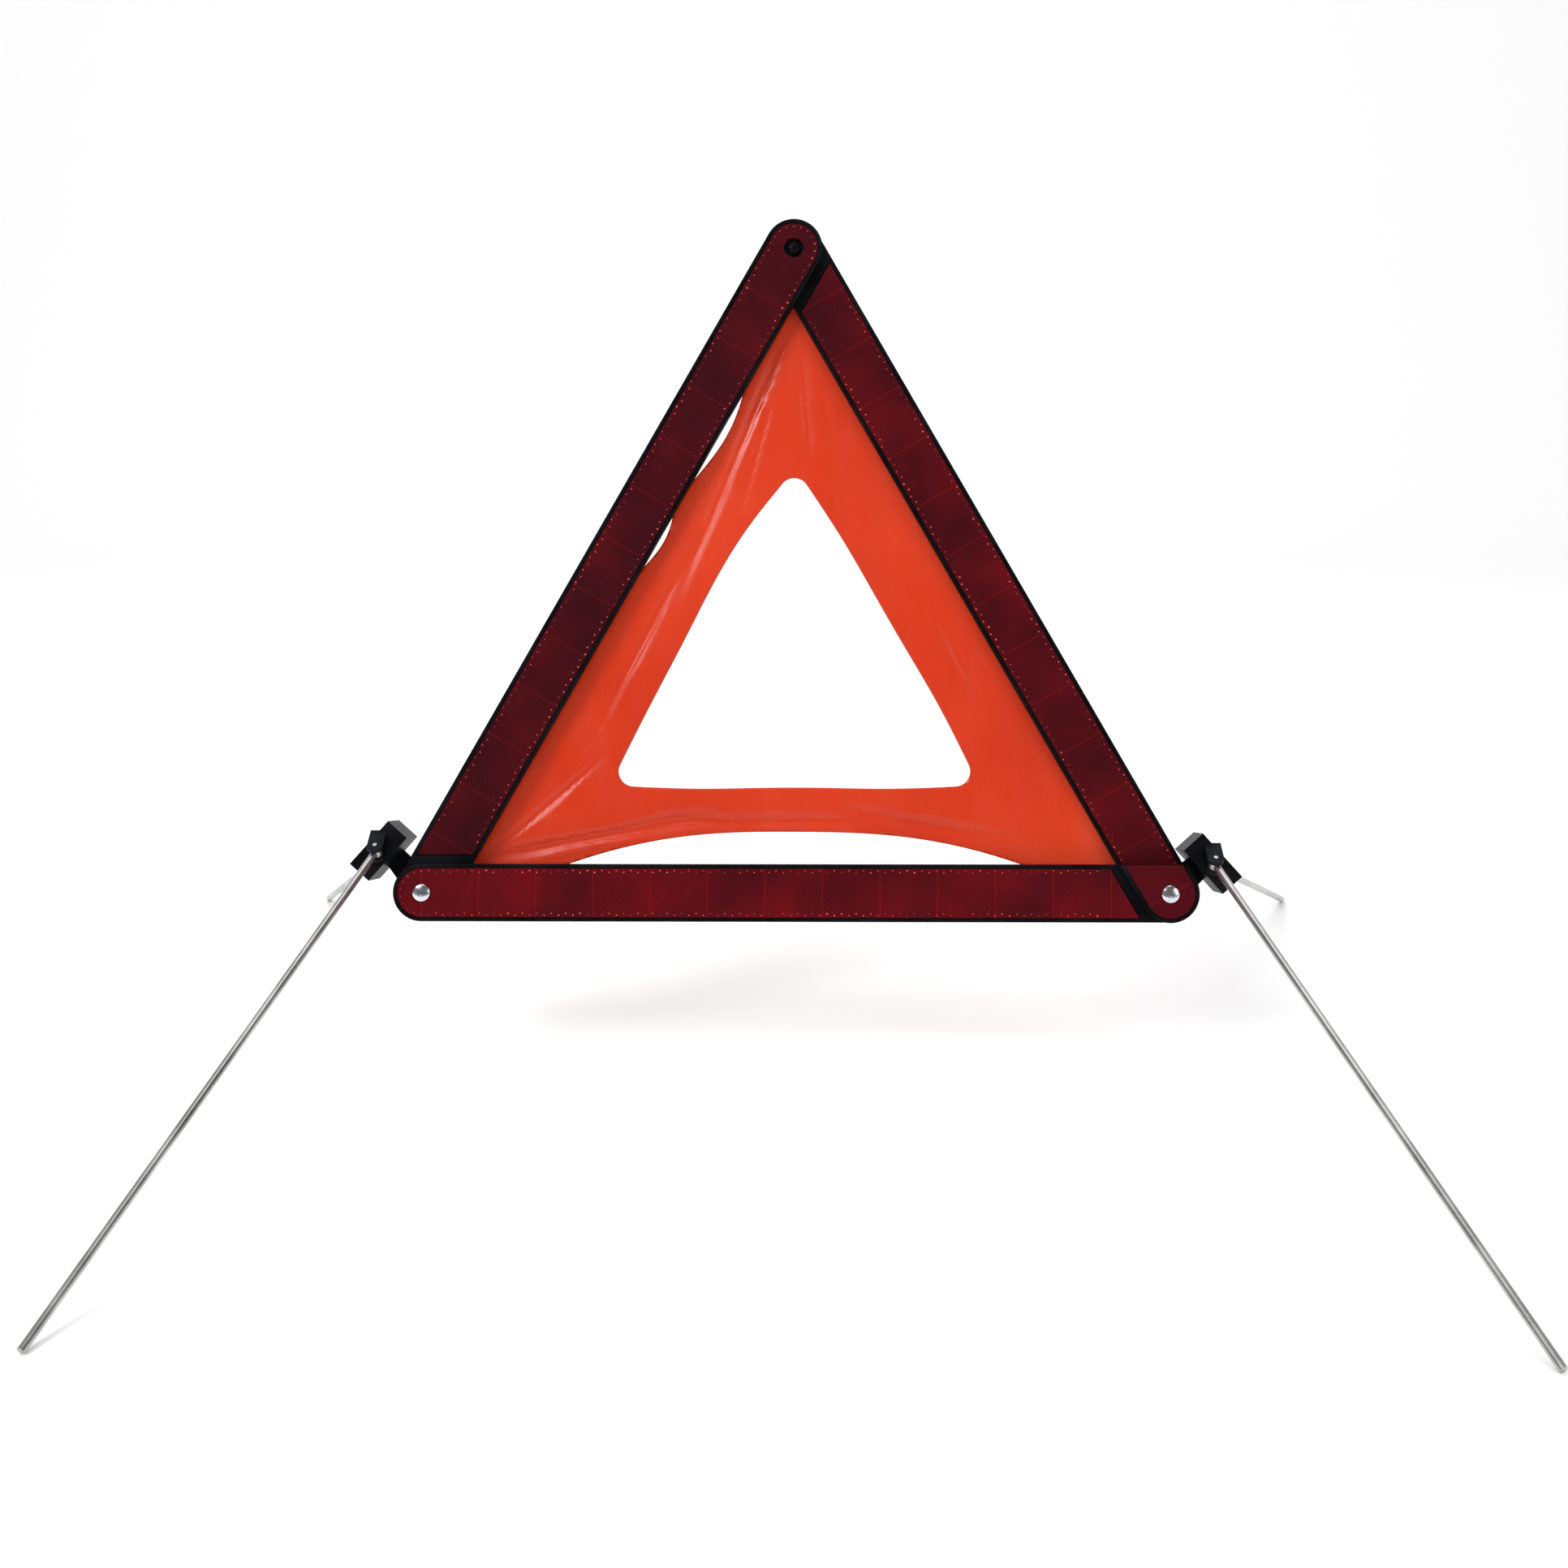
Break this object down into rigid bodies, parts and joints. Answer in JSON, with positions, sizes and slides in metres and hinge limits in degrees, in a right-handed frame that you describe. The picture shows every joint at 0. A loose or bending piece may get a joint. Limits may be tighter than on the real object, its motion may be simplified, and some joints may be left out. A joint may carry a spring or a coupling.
{
  "type": "warning triangle",
  "caption": "Folding roadside warning triangle with red reflector bars, an orange film insert and spread wire legs.",
  "frame": {"origin": "the middle of the base bar's lower edge face", "axes": "+Z is vertical with the four feet on level ground, +X to the right seen from the reflector side, -Y towards the viewer; the triangle leans back 15.7 degrees"},
  "size_m": [0.744, 0.6336, 0.5025],
  "materials": {
    "black_plastic": "satin, moulded, slightly worn edges",
    "red_reflector": "prismatic deep red lens",
    "orange_film": "fluorescent red-orange vinyl film, satin, creased",
    "zinc_wire": "bright zinc-plated wire",
    "nickel": "polished nickel rivet"
  },
  "bodies": {
    "base": {"base_tray": "black_plastic", "base_reflector": "red_reflector", "left_leg_bracket": "black_plastic", "right_leg_bracket": "black_plastic", "left_rivet": "nickel", "left_spacer": "black_plastic", "right_spacer": "black_plastic", "left_front_leg_pin": "zinc_wire", "left_rear_leg_pin": "zinc_wire", "right_front_leg_pin": "zinc_wire", "right_rear_leg_pin": "zinc_wire"},
    "left_arm": {"left_arm_tray": "black_plastic", "left_arm_reflector": "red_reflector"},
    "right_arm": {"right_arm_tray": "black_plastic", "right_arm_reflector": "red_reflector", "snap_stud": "black_plastic", "right_corner_cap": "black_plastic", "right_corner_reflector": "red_reflector", "right_rivet": "nickel", "film": "orange_film", "film_button_1": "black_plastic", "film_button_2": "black_plastic", "film_button_3": "black_plastic"},
    "left_front_leg": {"left_front_leg": "zinc_wire"},
    "left_rear_leg": {"left_rear_leg": "zinc_wire"},
    "right_front_leg": {"right_front_leg": "zinc_wire"},
    "right_rear_leg": {"right_rear_leg": "zinc_wire"}
  },
  "joints": [
    {"name": "left_arm_fold", "type": "hinge", "parent": "base", "child": "left_arm", "pos_m": [-0.221, 0.00932, 0.01504], "axis": [0, 0.9627, -0.2706], "range_deg": [0, 53], "deforming": ["film"]},
    {"name": "right_arm_fold", "type": "hinge", "parent": "base", "child": "right_arm", "pos_m": [0.221, 0.00932, 0.01504], "axis": [0, -0.9627, 0.2706], "range_deg": [0, 53]},
    {"name": "left_front_leg_fold", "type": "hinge", "parent": "base", "child": "left_front_leg", "pos_m": [-0.245, -0.00221, 0.04425], "axis": [0, -0.4376, 0.8992], "range_deg": [0, 106.7]},
    {"name": "left_rear_leg_fold", "type": "hinge", "parent": "base", "child": "left_rear_leg", "pos_m": [-0.245, 0.03437, 0.03397], "axis": [0, -0.4165, -0.9091], "range_deg": [0, 110.7]},
    {"name": "right_front_leg_fold", "type": "hinge", "parent": "base", "child": "right_front_leg", "pos_m": [0.245, -0.0041, 0.03751], "axis": [0, 0.4171, -0.9089], "range_deg": [0, 106.7]},
    {"name": "right_rear_leg_fold", "type": "hinge", "parent": "base", "child": "right_rear_leg", "pos_m": [0.245, 0.03248, 0.02723], "axis": [0, 0.3955, 0.9185], "range_deg": [0, 110.7]}
  ],
  "couplings": [
    {"joint": "right_arm_fold", "follows": "left_arm_fold", "ratio": 1}
  ]
}
